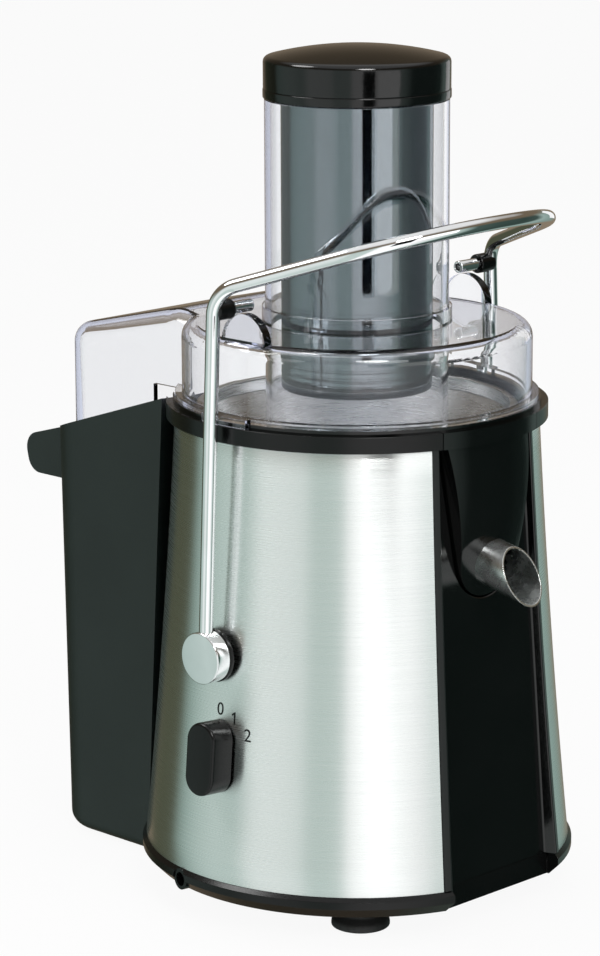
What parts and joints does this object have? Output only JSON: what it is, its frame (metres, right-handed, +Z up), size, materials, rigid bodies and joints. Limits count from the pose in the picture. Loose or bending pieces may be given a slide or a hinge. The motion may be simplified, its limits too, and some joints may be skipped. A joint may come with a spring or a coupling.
{
  "type": "centrifugal juicer",
  "caption": "Kitchen centrifugal juicer: flared steel body with motor, spinning filter basket, clear lid with feed tube and pusher, locking bar, pulp bin behind and juice spout in front.",
  "frame": {"origin": "middle of the outline seen from above, on the worktop", "axes": "+Z up, the spout points to -Y, the pulp bin stands at +Y and the knob is on the -X side"},
  "size_m": [0.2128, 0.298, 0.3961],
  "materials": {
    "shell_steel": "brushed round the body, satin",
    "spout_steel": "satin",
    "basket_steel": "bright sheet with etched holes",
    "bar_chrome": "bright plated",
    "machined_steel": "turned and ground",
    "black_gloss": "glossy moulded",
    "black_satin": "satin moulded",
    "bin_black": "fine matt moulded",
    "clear_plastic": "clear polished",
    "smoked_plastic": "smoked clear polished",
    "hub_plastic": "moulded",
    "rubber_black": "soft matt",
    "motor_iron": "stacked sheet",
    "winding_copper": "enamelled wire",
    "bracket_aluminium": "die cast",
    "switch_plastic": "moulded"
  },
  "bodies": {
    "housing": {"base_pan": "black_satin", "cord_gland": "black_satin", "foot_rear_right": "rubber_black", "foot_rear_left": "rubber_black", "foot_front_left": "rubber_black", "foot_front_right": "rubber_black", "steel_shell": "shell_steel", "juice_bowl": "black_gloss", "spout_tube": "spout_steel", "motor_deck": "black_satin", "front_panel": "black_gloss", "shaft_seal": "rubber_black", "base_screws": "machined_steel", "lid": "clear_plastic", "motor_top_bracket": "bracket_aluminium", "top_bearing": "machined_steel", "motor_dampers": "rubber_black", "motor_screws": "machined_steel", "motor_bottom_bracket": "bracket_aluminium", "bottom_bearing": "machined_steel", "brush_holders": "switch_plastic", "motor_stator": "motor_iron", "field_coils": "winding_copper", "selector_switch": "switch_plastic", "pivot_bush_right": "switch_plastic", "pivot_bush_left": "switch_plastic", "safety_switch_right": "switch_plastic", "safety_switch_left": "switch_plastic", "terminal_block": "switch_plastic", "suppression_capacitor": "switch_plastic"},
    "rotor": {"motor_shaft": "machined_steel", "armature_core": "motor_iron", "armature_windings": "winding_copper", "commutator": "winding_copper", "cooling_fan": "hub_plastic", "drive_coupling": "hub_plastic", "basket_hub": "hub_plastic", "filter_cone": "basket_steel", "basket_rim": "basket_steel", "grater_disc": "basket_steel"},
    "lock_bar": {"lock_rod": "bar_chrome", "pivot_axle_right": "bar_chrome", "pivot_axle_left": "bar_chrome", "pivot_washer_right": "black_satin", "pivot_washer_left": "black_satin", "pivot_disc_right": "bar_chrome", "pivot_disc_left": "bar_chrome", "latch_pin_right": "bar_chrome", "latch_pin_left": "bar_chrome", "latch_sleeve_right": "black_satin", "latch_sleeve_left": "black_satin"},
    "pusher": {"pusher_cup": "smoked_plastic", "pusher_collar": "black_gloss", "pusher_cap": "black_gloss"},
    "pulp_bin": {"pulp_bin": "bin_black"},
    "speed_knob": {"speed_knob": "black_satin", "knob_spindle": "machined_steel"}
  },
  "joints": [
    {"name": "rotor_spin", "type": "hinge", "parent": "housing", "child": "rotor", "pos_m": [0.00342, -0.03922, 0.1853], "axis": [0, 0, 1], "continuous": true},
    {"name": "lock_bar_swing", "type": "hinge", "parent": "housing", "child": "lock_bar", "pos_m": [0.00342, -0.03922, 0.127], "axis": [1, 0, 0], "range_deg": [0, 95]},
    {"name": "pusher_lift", "type": "slide", "parent": "housing", "child": "pusher", "axis": [0, 0, 1], "range_m": [0, 0.14]},
    {"name": "pulp_bin_tilt", "type": "hinge", "parent": "housing", "child": "pulp_bin", "pos_m": [0.00342, 0.03578, 0.228], "axis": [1, 0, 0], "range_deg": [0, 12]},
    {"name": "speed_knob_turn", "type": "hinge", "parent": "housing", "child": "speed_knob", "pos_m": [-0.09154, -0.04322, 0.0804], "axis": [0.9953, 0.0419, -0.0869], "range_deg": [0, 58]}
  ]
}
